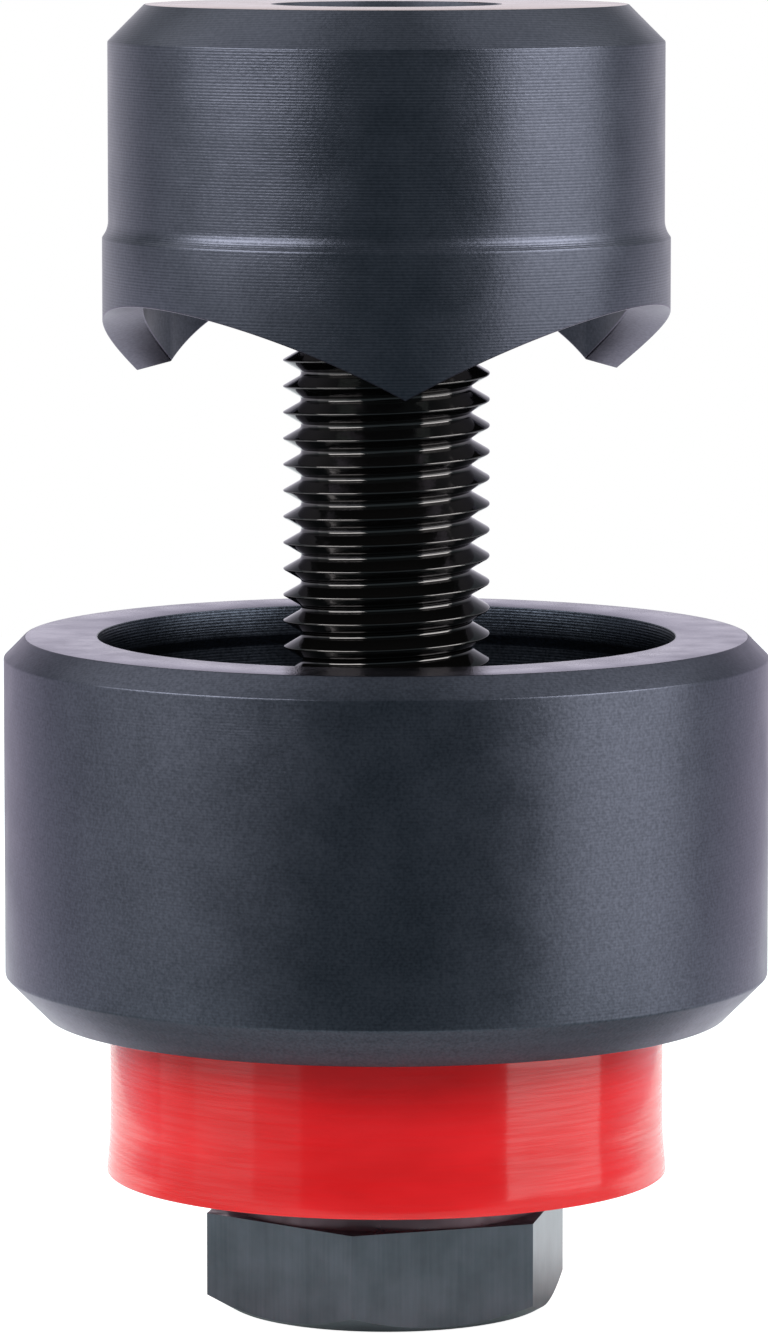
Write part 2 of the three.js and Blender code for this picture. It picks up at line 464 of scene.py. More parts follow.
class PunchFace(IntEnum):
    """The punch's materials, by their number on the piece."""

    WALL = 0
    CUTTING_EDGE = 1
    TOP = 2
    HOLLOW = 3


class DieFace(IntEnum):
    """The die's materials, by their number on the piece."""

    WALL = 0
    RIM = 1
    BORE = 2


class BoltFace(IntEnum):
    """The draw bolt's materials, by their number on the piece."""

    HEAD = 0
    THREAD = 1
    WASHER_FACE = 2


@dataclass(frozen=True)
class Finish:
    """A surface finish: its name, its colour and the plain numbers of its shader."""

    name: str
    colour: str
    roughness: float
    metallic: float = 0.0
    specular_level: float = 0.5
    edge_tint: str = "#ffffff"
    coat: float = 0.0
    coat_roughness: float = 0.1
    coat_ior: float = 1.5

    def material(self) -> bpy.types.Material:
        """Make the finish's material.

        Returns:
            The material, with the finish's patterns linked to its shader.
        """
        material = bpy.data.materials.new(self.name)
        material.use_nodes = True
        tree = material.node_tree
        tree.nodes.clear()
        shader = add_node(tree, "ShaderNodeBsdfPrincipled", {
            "Base Color": linear(self.colour),
            "Roughness": self.roughness,
            "Metallic": self.metallic,
            "Specular IOR Level": self.specular_level,
            "Specular Tint": linear(self.edge_tint),
            "Coat Weight": self.coat,
            "Coat Roughness": self.coat_roughness,
            "Coat IOR": self.coat_ior,
        }, self.patterns(tree))
        add_node(tree, "ShaderNodeOutputMaterial", links={"Surface": shader})
        return material

    def patterns(self, tree: bpy.types.NodeTree) -> dict[str, Source]:
        """List what feeds the shader, by its socket's name: nothing on a plain finish."""
        return {}


@dataclass(frozen=True)
class Pattern:
    """Builds the patterns that the finishes share, in one node tree, from object coordinates."""

    tree: bpy.types.NodeTree

    def along_profile(self, lean: float = 0.8) -> bpy.types.Node:
        """Measure along a turned profile: up a wall and inwards over a flat face.

        Args:
            lean: how much a step inwards counts against a step up.

        Returns:
            The node of the distance, in metres.
        """
        point = add_node(self.tree, "ShaderNodeTexCoord").outputs["Object"]
        height = add_node(self.tree, "ShaderNodeSeparateXYZ", links={0: point}).outputs["Z"]
        level = add_node(self.tree, "ShaderNodeVectorMath",
                         {"operation": "MULTIPLY", 1: (1.0, 1.0, 0.0)}, {0: point})
        radius = add_node(self.tree, "ShaderNodeVectorMath",
                          {"operation": "LENGTH"}, {0: level}).outputs["Value"]
        inwards = add_node(self.tree, "ShaderNodeMath",
                           {"operation": "MULTIPLY", 1: lean}, {0: radius})
        return add_node(self.tree, "ShaderNodeMath",
                        {"operation": "SUBTRACT"}, {0: height, 1: inwards})

    def turning(self, spacing: float) -> bpy.types.Node:
        """Lines left by the lathe's even feed, each a little unlike the next.

        Args:
            spacing: the distance between lines, in millimetres.

        Returns:
            The node of a value from 0 to 1 that swings once for each line.
        """
        lines_in_drift, faintest, strongest, middle = 8, 0.3, 0.5, 0.5
        along = self.along_profile()
        drift = add_node(self.tree, "ShaderNodeTexNoise", {
            "noise_dimensions": "1D", "Scale": 1 / (lines_in_drift * spacing * MM), "Detail": 2.0,
        }, {"W": along})
        even = add_node(self.tree, "ShaderNodeMath",
                        {"operation": "MULTIPLY", 1: FULL_TURN / (spacing * MM)}, {0: along})
        uneven = add_node(self.tree, "ShaderNodeMath",
                          {"operation": "MULTIPLY", 1: FULL_TURN}, {0: drift})
        phase = add_node(self.tree, "ShaderNodeMath",
                         {"operation": "ADD"}, {0: even, 1: uneven})
        wave = add_node(self.tree, "ShaderNodeMath", {"operation": "SINE"}, {0: phase})
        strength = add_node(self.tree, "ShaderNodeMapRange",
                            {**WIDE, "To Min": faintest, "To Max": strongest}, {"Value": drift})
        swing = add_node(self.tree, "ShaderNodeMath",
                         {"operation": "MULTIPLY"}, {0: wave, 1: strength})
        return add_node(self.tree, "ShaderNodeMath", {"operation": "ADD", 1: middle}, {0: swing})

    def grain(self, size: float, stretch: tuple[float, float, float] = (1.0, 1.0, 1.0),
              detail: float = 2.0) -> bpy.types.Node:
        """Soft grain in three dimensions.

        Args:
            size: the size of a grain, in millimetres.
            stretch: how much finer the grain is along X, Y and Z.
            detail: how many finer layers it has.

        Returns:
            The node of a value from 0 to 1.
        """
        point = add_node(self.tree, "ShaderNodeTexCoord").outputs["Object"]
        mapping = add_node(self.tree, "ShaderNodeMapping", {"Scale": stretch}, {"Vector": point})
        return add_node(self.tree, "ShaderNodeTexNoise",
                        {"Scale": 1 / (size * MM), "Detail": detail}, {"Vector": mapping})


@dataclass(frozen=True)
class BlackOxide(Finish):
    """Black oxide over turned tool steel: a dark satin blue-grey with fine tool lines.

    The lines lie as far apart as a finishing cut's feed, 0.15 to 0.2 mm. The oxide's own grain
    is a few microns wide and too fine to show, so its speckle is drawn as coarse as 0.2 mm.
    Stains are what is left of the bath's uneven colour, a few millimetres across.
    """

    light_colour: str = "#686c79"
    line_spacing: float = 0.17
    line_depth: float = 0.003
    line_share: float = 0.35
    speckle_size: float = 0.2
    speckle_depth: float = 0.005
    stain_size: float = 3.0
    stain_detail: float = 5.0
    stain_share: float = 0.15
    stain_roughness: float = 0.03

    def patterns(self, tree: bpy.types.NodeTree) -> dict[str, Source]:
        """Make tool lines, a fine speckle and a slightly uneven oxide.

        Args:
            tree: the material's node tree.

        Returns:
            What feeds the shader, by its socket's name.
        """
        pattern = Pattern(tree)
        lines = pattern.turning(self.line_spacing)
        speckle = pattern.grain(self.speckle_size)
        stain = pattern.grain(self.stain_size, detail=self.stain_detail)
        lit_lines = add_node(tree, "ShaderNodeMapRange",
                             {"To Max": self.line_share}, {"Value": lines})
        lit_stain = add_node(tree, "ShaderNodeMapRange",
                             {**WIDE, "To Max": self.stain_share}, {"Value": stain})
        lit_speckle = add_node(
            tree, "ShaderNodeMapRange",
            {**WIDE, "To Max": 1.0 - self.line_share - self.stain_share}, {"Value": speckle})
        marks = add_node(tree, "ShaderNodeMath",
                         {"operation": "ADD"}, {0: lit_speckle, 1: lit_lines})
        uneven = add_node(tree, "ShaderNodeMath", {"operation": "ADD"}, {0: marks, 1: lit_stain})
        colour = add_node(
            tree, "ShaderNodeMix",
            {"data_type": "RGBA", 6: linear(self.colour), 7: linear(self.light_colour)},
            {0: uneven})
        roughness = add_node(
            tree, "ShaderNodeMapRange",
            {**MEDIUM, "To Min": self.roughness - self.stain_roughness,
             "To Max": self.roughness + self.stain_roughness},
            {"Value": stain})
        under = add_node(tree, "ShaderNodeBump",
                         {"Distance": self.speckle_depth * MM}, {"Height": speckle})
        bump = add_node(tree, "ShaderNodeBump",
                        {"Distance": self.line_depth * MM}, {"Height": lines, "Normal": under})
        return {"Base Color": colour.outputs[2], "Roughness": roughness, "Normal": bump}


@dataclass(frozen=True)
class DrawnSteel(Finish):
    """Black oxide over cold-drawn hexagon bar: flat faces with faint lines along the bar.

    The scratches of drawing are a few hundredths of a millimetre wide and too fine to show, so
    they are drawn as coarse as 0.25 mm, and 20 times as long.
    """

    light_colour: str = "#787e88"
    grain_size: float = 0.25
    grain_depth: float = 0.004
    line_stretch: float = 0.05
    line_depth: float = 0.0015
    line_share: float = 0.35
    stain_size: float = 2.5
    stain_detail: float = 3.0

    def patterns(self, tree: bpy.types.NodeTree) -> dict[str, Source]:
        """Make drawing lines along the axis, a fine grain and soft stains.

        Args:
            tree: the material's node tree.

        Returns:
            What feeds the shader, by its socket's name.
        """
        pattern = Pattern(tree)
        lines = pattern.grain(self.grain_size, stretch=(1.0, 1.0, self.line_stretch))
        fine = pattern.grain(self.grain_size)
        stain = pattern.grain(self.stain_size, detail=self.stain_detail)
        lit_lines = add_node(tree, "ShaderNodeMapRange",
                             {**WIDE, "To Max": self.line_share}, {"Value": lines})
        lit_stain = add_node(tree, "ShaderNodeMapRange",
                             {**MEDIUM, "To Max": 1.0 - self.line_share}, {"Value": stain})
        uneven = add_node(tree, "ShaderNodeMath",
                          {"operation": "ADD"}, {0: lit_lines, 1: lit_stain})
        colour = add_node(
            tree, "ShaderNodeMix",
            {"data_type": "RGBA", 6: linear(self.colour), 7: linear(self.light_colour)},
            {0: uneven})
        under = add_node(tree, "ShaderNodeBump",
                         {"Distance": self.grain_depth * MM}, {"Height": fine})
        bump = add_node(tree, "ShaderNodeBump",
                        {"Distance": self.line_depth * MM}, {"Height": lines, "Normal": under})
        return {"Base Color": colour.outputs[2], "Normal": bump}


@dataclass(frozen=True)
class OiledSteel(Finish):
    """Black oxide wet with oil, or on the washer face a tinted copy that paints shade: nearly
    black, with sharp or smeared small highlights.

    The film gathers in waves of about a millimetre, smoother where it is thick.
    """

    film_size: float = 0.9
    film_depth: float = 0.01
    thick_share: float = 0.7
    thin_share: float = 1.4

    def patterns(self, tree: bpy.types.NodeTree) -> dict[str, Source]:
        """Make the uneven film.

        Args:
            tree: the material's node tree.

        Returns:
            What feeds the shader, by its socket's name.
        """
        film = Pattern(tree).grain(self.film_size)
        roughness = add_node(
            tree, "ShaderNodeMapRange",
            {**WIDE, "To Min": self.roughness * self.thick_share,
             "To Max": self.roughness * self.thin_share},
            {"Value": film})
        bump = add_node(tree, "ShaderNodeBump",
                        {"Distance": self.film_depth * MM}, {"Height": film})
        return {"Roughness": roughness, "Normal": bump}


@dataclass(frozen=True)
class RedLacquer(Finish):
    """Red lacquer on a turned ring: glossy, with the fine tool lines showing through.

    The lines are as wide as the feed, and run on for some millimetres before they fade.
    """

    dark_colour: str = "#e8161a"
    line_spacing: float = 0.15
    line_depth: float = 0.003
    line_stretch: float = 0.025
    line_detail: float = 3.0
    cloud_size: float = 2.5
    cloud_stretch: float = 0.4
    thin_share: float = 0.65
    thick_share: float = 1.1

    def patterns(self, tree: bpy.types.NodeTree) -> dict[str, Source]:
        """Make tool lines that run nearly level, and a slightly uneven colour along them.

        Args:
            tree: the material's node tree.

        Returns:
            What feeds the shader, by its socket's name.
        """
        pattern = Pattern(tree)
        lines = pattern.grain(self.line_spacing, detail=self.line_detail,
                              stretch=(self.line_stretch, self.line_stretch, 1.0))
        cloud = pattern.grain(self.cloud_size,
                              stretch=(self.cloud_stretch, self.cloud_stretch, 1.0))
        darkness = add_node(tree, "ShaderNodeMapRange", WIDE, {"Value": cloud})
        colour = add_node(
            tree, "ShaderNodeMix",
            {"data_type": "RGBA", 6: linear(self.colour), 7: linear(self.dark_colour)},
            {0: darkness})
        coat = add_node(
            tree, "ShaderNodeMapRange",
            {**NARROW, "To Min": self.thin_share * self.coat,
             "To Max": self.thick_share * self.coat},
            {"Value": lines})
        bump = add_node(tree, "ShaderNodeBump",
                        {"Distance": self.line_depth * MM}, {"Height": lines})
        return {"Base Color": colour.outputs[2], "Normal": bump, "Coat Normal": bump,
                "Coat Weight": coat}


@dataclass(frozen=True)
class BrightMetal(Finish):
    """Machined bright metal, such as ground steel, brass or spring steel, with fine lines.

    Grinding lines are too fine to show, so they are drawn as coarse as a turning feed.
    """

    line_spacing: float = 0.15
    line_depth: float = 0.003
    smooth_share: float = 0.8
    rough_share: float = 1.3

    def patterns(self, tree: bpy.types.NodeTree) -> dict[str, Source]:
        """Make fine machining lines.

        Args:
            tree: the material's node tree.

        Returns:
            What feeds the shader, by its socket's name.
        """
        lines = Pattern(tree).turning(self.line_spacing)
        roughness = add_node(
            tree, "ShaderNodeMapRange",
            {**WIDE, "To Min": self.roughness * self.smooth_share,
             "To Max": self.roughness * self.rough_share},
            {"Value": lines})
        bump = add_node(tree, "ShaderNodeBump",
                        {"Distance": self.line_depth * MM}, {"Height": lines})
        return {"Roughness": roughness, "Normal": bump}


@dataclass
class Finishes:
    """The materials of the whole tool."""

    # The punch as it comes from the lathe: dark satin blue-grey with the feed's level lines
    black_oxide: bpy.types.Material = field(default_factory=BlackOxide(
        "black_oxide_turned_steel", "#454953", roughness=0.34, metallic=1.0,
        light_colour="#6d717e", line_depth=0.0045, line_share=0.55, speckle_depth=0.009).material)
    # The die's finer cut: the same blue-grey, nearly without lines
    fine_oxide: bpy.types.Material = field(default_factory=BlackOxide(
        "black_oxide_fine_turned_steel", "#4a4e58", roughness=0.36, metallic=1.0,
        edge_tint="#f8f3fb", line_depth=0.0015, line_share=0.15, stain_share=0.22,
        speckle_size=0.18, speckle_depth=0.006).material)
    # The milled bevel of the teeth: flat, a little lighter and violet-grey
    cut_oxide: bpy.types.Material = field(default_factory=BlackOxide(
        "black_oxide_cut_steel", "#42404b", roughness=0.32, metallic=1.0, edge_tint="#f4f0f8",
        light_colour="#6a6875", line_depth=0.0005, line_share=0.1, stain_share=0.5).material)
    # The bored hollow behind the teeth: smooth and dark
    hollow_oxide: bpy.types.Material = field(default_factory=BlackOxide(
        "black_oxide_hollow", "#2b3037", roughness=0.36, metallic=1.0,
        light_colour="#484d57", line_depth=0.001, line_share=0.1, stain_share=0.4).material)
    # The die's rim, ground flat under its oxide: light violet-grey and smoother, with soft stains
    ground_oxide: bpy.types.Material = field(default_factory=BlackOxide(
        "black_oxide_ground_steel", "#66636e", roughness=0.2, metallic=1.0, edge_tint="#f4f2fa",
        light_colour="#8f8c98", line_share=0.2, stain_share=0.35, stain_roughness=0.05).material)
    # The die's bore and floor: nearly black, a painted shade inside the cup, between lines that
    # catch the light
    bore_shade_oxide: bpy.types.Material = field(default_factory=BlackOxide(
        "shade_darkened_black_oxide_bore", "#252a33", roughness=0.32, metallic=0.93,
        light_colour="#626b79", line_depth=0.006, line_share=0.4, speckle_depth=0.01).material)
    # The punch's top, ground bare: pale warm steel that mirrors the room
    ground_face: bpy.types.Material = field(default_factory=BlackOxide(
        "bare_ground_steel", "#85817d", roughness=0.12, metallic=1.0, edge_tint="#fbebe1",
        light_colour="#9c9894", line_share=0.3, stain_share=0.3, stain_roughness=0.02).material)
    # The head's drawn flats: even slate grey with faint upright lines
    drawn_steel: bpy.types.Material = field(default_factory=DrawnSteel(
        "black_oxide_drawn_steel", "#646b73", roughness=0.32, metallic=1.0).material)
    # The thread under oil: black, with a thin bright glint along each flank
    oiled_thread: bpy.types.Material = field(default_factory=OiledSteel(
        "oiled_black_thread", "#676665", roughness=0.07, metallic=0.97,
        edge_tint="#bcbcc0").material)
    # The washer face under the ring: smeared steel tinted dark red, a painted shade with a painted
    # reflection of the lacquer above it
    shade_tinted_steel: bpy.types.Material = field(default_factory=OiledSteel(
        "shade_tinted_black_steel", "#75636a", roughness=0.38, metallic=1.0,
        edge_tint="#eadde1").material)
    # The housing: strong red under a glossy coat that streaks the lamps' reflections
    red_lacquer: bpy.types.Material = field(default_factory=RedLacquer(
        "red_lacquer", "#f81e24", roughness=0.26, specular_level=0.15,
        coat=0.48, coat_roughness=0.1, coat_ior=2.0).material)
    # The bearing's balls and washers: bright ground steel
    ground_steel: bpy.types.Material = field(default_factory=BrightMetal(
        "ground_bearing_steel", "#b9bcc0", roughness=0.22, metallic=1.0).material)
    # The ball cage: satin yellow brass
    brass: bpy.types.Material = field(default_factory=BrightMetal(
        "cage_brass", "#c39c50", roughness=0.35, metallic=1.0).material)
    # The retaining ring: dark grey tempered steel
    spring_steel: bpy.types.Material = field(default_factory=BrightMetal(
        "dark_spring_steel", "#55575c", roughness=0.35, metallic=1.0).material)


@dataclass
class Punch:
    """The toothed punch, with its tapped hole."""

    thread: Thread
    band_radius: float = 16.25
    body_radius: float = 15.9
    band_height: float = 8.2
    relief_nose: float = 1.5
    relief_steps: int = 6
    top_chamfer: float = 2.1
    rim: float = 2.35
    hollow_reserve: float = 3.35
    hollow_rounding: float = 0.6
    mouth_radius: float = 6.6
    thread_clearance: float = 0.16
    tooth_count: int = 3
    tooth_depth: float = 4.67
    tooth_bevel: float = math.radians(15)
    tooth_azimuth: float = math.radians(3.7)
    edge_rounding: float = 0.1
    corner_rounding: float = 0.05
    seam: float = 0.15

    def edge_height(self, azimuth: float, radius: float) -> float:
        """Height of the cutting edge over the tips.

        Args:
            azimuth: the angle from a tip.
            radius: the distance from the axis.

        Returns:
            The height, which arches up between two tips and rises inwards by the bevel.
        """
        tooth_share = (azimuth * self.tooth_count / FULL_TURN) % 1.0
        from_valley = 2 * tooth_share - 1
        arch = self.tooth_depth * (1 - from_valley ** 2)
        return arch + (self.band_radius - radius) * math.tan(self.tooth_bevel)

    def corners(self, tips: float, top: float) -> list[Corner]:
        """List the outline from the tapped hole's lower mouth, round the outside, to its upper one.

        Args:
            tips: the height of the tips.
            top: the height of the top face.

        Returns:
            The outline's points, with the lower rim still level at the tips.
        """
        hollow_radius = self.band_radius - self.rim
        hollow_top = tips + self.tooth_depth + self.hollow_reserve
        band_top = tips + self.band_height
        return [
            (self.mouth_radius + self.seam, hollow_top, 0.0),
            (hollow_radius, hollow_top, self.hollow_rounding),
            (hollow_radius, tips, self.edge_rounding),
            (self.band_radius, tips, self.edge_rounding),
            *self.relief(band_top),
            (self.body_radius, top - self.top_chamfer, self.corner_rounding),
            (self.body_radius - self.top_chamfer, top, self.corner_rounding),
            (self.mouth_radius + self.seam, top, 0.0),
        ]

    def relief(self, band_top: float) -> list[Corner]:
        """List the shallow cove over the cutting band, which a round-nosed tool leaves.

        Args:
            band_top: the height where the band ends.

        Returns:
            The cove's points, from the band up to the body.
        """
        widest = math.acos(1 - (self.band_radius - self.body_radius) / self.relief_nose)
        run = self.relief_nose * math.sin(widest)
        angles = [widest * (1 - step / self.relief_steps) for step in range(self.relief_steps + 1)]
        return [
            (self.body_radius + self.relief_nose * (1 - math.cos(angle)),
             band_top + run - self.relief_nose * math.sin(angle),
             self.corner_rounding if angle == widest else 0.0)
            for angle in angles
        ]

    def cut_teeth(self, mesh: bmesh.types.BMesh, tips: float) -> None:
        """Lift the lower rim to the cutting edge's curve and turn it to its azimuth.

        Args:
            mesh: the turned punch.
            tips: the height of the tips.
        """
        step = FULL_TURN / TURN_STEPS
        rim_top = tips + 2 * self.edge_rounding
        for face in mesh.faces:
            if all(vert.co.z < rim_top for vert in face.verts):
                face.material_index = PunchFace.CUTTING_EDGE
        for vert in mesh.verts:
            if vert.co.z < rim_top:
                azimuth = round(math.atan2(vert.co.x, -vert.co.y) / step) * step
                radius = math.hypot(vert.co.x, vert.co.y)
                vert.co.z += self.edge_height(azimuth, radius)
        bmesh.ops.rotate(mesh, cent=ORIGIN, matrix=Matrix.Rotation(self.tooth_azimuth, 3, "Z"),
                         verts=mesh.verts[:])

    def mark_hollow(self, mesh: bmesh.types.BMesh, hollow_top: float) -> None:
        """Give the hollow's wall and ceiling their own finish.

        Args:
            mesh: the punch with its cutting edge marked, and still without its tapped hole.
            hollow_top: the height of the ceiling.
        """
        wall = self.band_radius - self.rim + WELD
        for face in mesh.faces:
            inside = all(
                vert.co.z < hollow_top + WELD and math.hypot(vert.co.x, vert.co.y) < wall
                for vert in face.verts)
            if inside and face.material_index == PunchFace.WALL:
                face.material_index = PunchFace.HOLLOW

    def tapped_hole(self, low: float, high: float) -> bmesh.types.BMesh:
        """Make the hole's thread, opened to a cone at both mouths.

        Args:
            low: the height of the lower mouth.
            high: the height of the upper mouth.

        Returns:
            The thread's surface, open at both ends.
        """
        hole = self.thread.surface(low, high, self.thread_clearance)
        limit_radius(hole, lambda radius, height: max(
            radius, self.mouth_radius - (height - low), self.mouth_radius - (high - height)))
        cut_level(hole, low, keep=1)
        cut_level(hole, high, keep=-1)
        return hole

    def build(self, finishes: Finishes) -> bpy.types.Object:
        """Build the punch.

        Args:
            finishes: the tool's materials.

        Returns:
            The punch, where the CAD punch is.
        """
        extent = Extent.of("punch")
        corners = self.corners(extent.low, extent.high)
        hollow_top = corners[0][1]
        mesh = turned(corners, closed=False)
        self.cut_teeth(mesh, extent.low)
        self.mark_hollow(mesh, hollow_top)
        join(mesh, self.tapped_hole(hollow_top, extent.high))
        for height in (hollow_top, extent.high):
            bmesh.ops.bridge_loops(mesh, edges=rim_at(mesh, height))
        mark_level(mesh, extent.high, PunchFace.TOP)
        piece = finished("toothed_punch", mesh, [
            finishes.black_oxide, finishes.cut_oxide, finishes.ground_face, finishes.hollow_oxide])
        seat(piece, "punch", Slot.BLACKENED.value, "punch")
        return piece


@dataclass
class Die:
    """The cup-shaped die with its cutting land, slug relief and floor."""

    bore_radius: float = 16.6
    land: float = 1.7
    relief: float = 0.6
    floor: float = 6.0
    hole_radius: float = 6.5
    hole_rounding: float = 0.5
    top_chamfer: float = 1.2
    top_rounding: float = 0.06
    bottom_chamfer: float = 2.35
    bottom_rounding: float = 0.08
    rim_rounding: float = 0.05
    relief_rounding: float = 0.1
    floor_rounding: float = 0.8

    def build(self, finishes: Finishes) -> bpy.types.Object:
        """Build the die.

        Args:
            finishes: the tool's materials.

        Returns:
            The die, where the CAD die is.
        """
        extent = Extent.of("die")
        floor_top = extent.low + self.floor
        relief_radius = self.bore_radius + self.relief
        mesh = turned([
            (self.hole_radius, extent.low, self.hole_rounding),
            (extent.radius - self.bottom_chamfer, extent.low, self.bottom_rounding),
            (extent.radius, extent.low + self.bottom_chamfer, self.bottom_rounding),
            (extent.radius, extent.high - self.top_chamfer, self.top_rounding),
            (extent.radius - self.top_chamfer, extent.high, self.rim_rounding),
            (self.bore_radius, extent.high, self.top_rounding),
            (self.bore_radius, extent.high - self.land, self.rim_rounding),
            (relief_radius, extent.high - self.land - self.relief, self.relief_rounding),
            (relief_radius, floor_top, self.floor_rounding),
            (self.hole_radius, floor_top, self.hole_rounding),
        ])
        mark_level(mesh, extent.high, DieFace.RIM)
        # The bore and floor take the darker oxide with deeper lines; its darkness is painted shade
        # inside the cup
        for face in mesh.faces:
            inside = any(
                math.hypot(vert.co.x, vert.co.y) < relief_radius + WELD for vert in face.verts)
            if inside and extent.low < face.calc_center_median().z < extent.high:
                face.material_index = DieFace.BORE
        piece = finished("cup_die", mesh, [
            finishes.fine_oxide, finishes.ground_oxide, finishes.bore_shade_oxide])
        seat(piece, "die", Slot.BLACKENED.value, "die")
        return piece


@dataclass
class DrawBolt:
    """The draw bolt: hex head, washer face, plain shank and thread in one piece."""

    thread: Thread
    wrench_size: float = 19.0
    head_height: float = 5.9
    head_flat_radius: float = 9.0
    head_rounding: float = 0.25
    head_chamfer_angle: float = math.radians(30)
    corner_azimuth: float = math.radians(-10.3)
    washer_face_radius: float = 9.2
    washer_face_height: float = 1.0
    washer_face_rounding: float = 0.1
    shank_radius: float = 5.95
    shank_fillet: float = 0.3
    thread_start: float = 24.0
    run_out: float = 1.6
    end_chamfer: float = 1.2
    blank_overrun: float = 1.0
    flats: int = 6

    def blank(self, low: float) -> bmesh.types.BMesh:
        """Turn the head's round blank with the washer face and the plain shank on it.

        Args:
            low: the height of the head's underside.

        Returns:
            The blank, open where the thread starts.
        """
        blank_radius = self.wrench_size / 2 / math.cos(math.pi / self.flats) + self.blank_overrun
        rise = (blank_radius - self.head_flat_radius) * math.tan(self.head_chamfer_angle)
        head_top = low + self.head_height
        face = head_top + self.washer_face_height
        return turned([
            (0.0, low, 0.0),
            (self.head_flat_radius, low, self.head_rounding),
            (blank_radius, low + rise, 0.0),
            (blank_radius, head_top, 0.0),
            (self.washer_face_radius, head_top, 0.0),
            (self.washer_face_radius, face, self.washer_face_rounding),
            (self.shank_radius, face, self.shank_fillet),
            (self.shank_radius, low + self.thread_start, 0.0),
        ], closed=False)

    def cut_flats(self, mesh: bmesh.types.BMesh) -> None:
        """Cut the six flats and close each with one face.

        Args:
            mesh: the turned blank.
        """
        for index in range(self.flats):
            azimuth = self.corner_azimuth + (index + 0.5) * FULL_TURN / self.flats
            outward = Vector((math.sin(azimuth), -math.cos(azimuth), 0.0))
            cut = bmesh.ops.bisect_plane(
                mesh,
                geom=mesh.verts[:] + mesh.edges[:] + mesh.faces[:],
                dist=WELD / 10,
                plane_co=outward * (self.wrench_size / 2),
                plane_no=outward,
                clear_outer=True,
            )
            rim = [item for item in cut["geom_cut"] if isinstance(item, bmesh.types.BMEdge)]
            bmesh.ops.contextual_create(mesh, geom=rim)

    def threaded_end(self, low: float, high: float) -> bmesh.types.BMesh:
        """Make the thread, with its run-out below, its chamfer above and its end closed.

        Args:
            low: the height where the thread starts.
            high: the height of the bolt's end.

        Returns:
            The thread, open below.
        """
        crest = self.thread.crest_radius
        depth = crest - self.thread.root_radius

        def limit(radius: float, height: float) -> float:
            """Fill the groove near the start and cone the end.

            Args:
                radius: the thread's radius at a point.
                height: the point's height.

            Returns:
                The point's new radius.
            """
            run_out_share = min(1.0, max(0.0, (height - low) / self.run_out))
            filled = max(radius, crest - depth * run_out_share)
            return min(filled, crest - self.end_chamfer + max(0.0, high - height))

        end = self.thread.surface(low, high)
        limit_radius(end, limit)
        cut_level(end, low, keep=1)
        bmesh.ops.contextual_create(end, geom=cut_level(end, high, keep=-1))
        return end

    def build(self, finishes: Finishes) -> bpy.types.Object:
        """Build the draw bolt.

        Args:
            finishes: the tool's materials.

        Returns:
            The bolt, where the CAD bolt is.
        """
        extent = Extent.of("draw_bolt")
        mesh = self.blank(extent.low)
        self.cut_flats(mesh)
        head_top = extent.low + self.head_height
        # The washer face takes the red-tinted steel: painted shade under the ring and a painted
        # reflection of the lacquer
        mark_between(mesh, head_top, head_top + self.washer_face_height, BoltFace.WASHER_FACE)
        shank_end = extent.low + self.thread_start
        thread_low = shank_end + self.blank_overrun
        end = self.threaded_end(thread_low, extent.high)
        mark_between(end, thread_low, extent.high, BoltFace.THREAD)
        join(mesh, end)
        bmesh.ops.bridge_loops(mesh, edges=rim_at(mesh, shank_end) + rim_at(mesh, thread_low))
        piece = finished("threaded_draw_bolt", mesh, [
            finishes.drawn_steel, finishes.oiled_thread, finishes.shade_tinted_steel])
        seat(piece, "bolt", Slot.OILED.value, "draw_bolt")
        return piece


@dataclass
class BearingHousing:
    """The red ring between die and head, which holds the thrust bearing."""

    bore_radius: float = 13.2
    top_radius: float = 15.98
    web: float = 1.2
    bolt_hole_radius: float = 6.6
    groove_radius: float = 13.8
    groove_low: float = 0.6
    groove_width: float = 0.7
    flare_height: float = 2.4
    lower_rounding: float = 0.15
    flare_rounding: float = 1.0
    upper_rounding: float = 0.25
    hole_rounding: float = 0.2
    web_rounding: float = 0.1

    def build(self, finishes: Finishes) -> bpy.types.Object:
        """Build the housing.

        Args:
            finishes: the tool's materials.

        Returns:
            The housing, where the CAD housing is.
        """
        extent = Extent.of("bearing_housing")
        groove_bottom = extent.low + self.groove_low
        groove_top = groove_bottom + self.groove_width
        web_bottom = extent.high - self.web
        mesh = turned([
            (self.bore_radius, extent.low, self.lower_rounding),
            (extent.radius, extent.low, self.lower_rounding),
            (self.top_radius, extent.low + self.flare_height, self.flare_rounding),
            (self.top_radius, extent.high, self.upper_rounding),
            (self.bolt_hole_radius, extent.high, self.hole_rounding),
            (self.bolt_hole_radius, web_bottom, self.web_rounding),
            (self.bore_radius, web_bottom, self.web_rounding),
            (self.bore_radius, groove_top, 0.0),
            (self.groove_radius, groove_top, 0.0),
            (self.groove_radius, groove_bottom, 0.0),
            (self.bore_radius, groove_bottom, 0.0),
        ])
        piece = finished("red_housing", mesh, [finishes.red_lacquer])
        seat(piece, "housing", Slot.RED.value, "bearing_housing")
        return piece


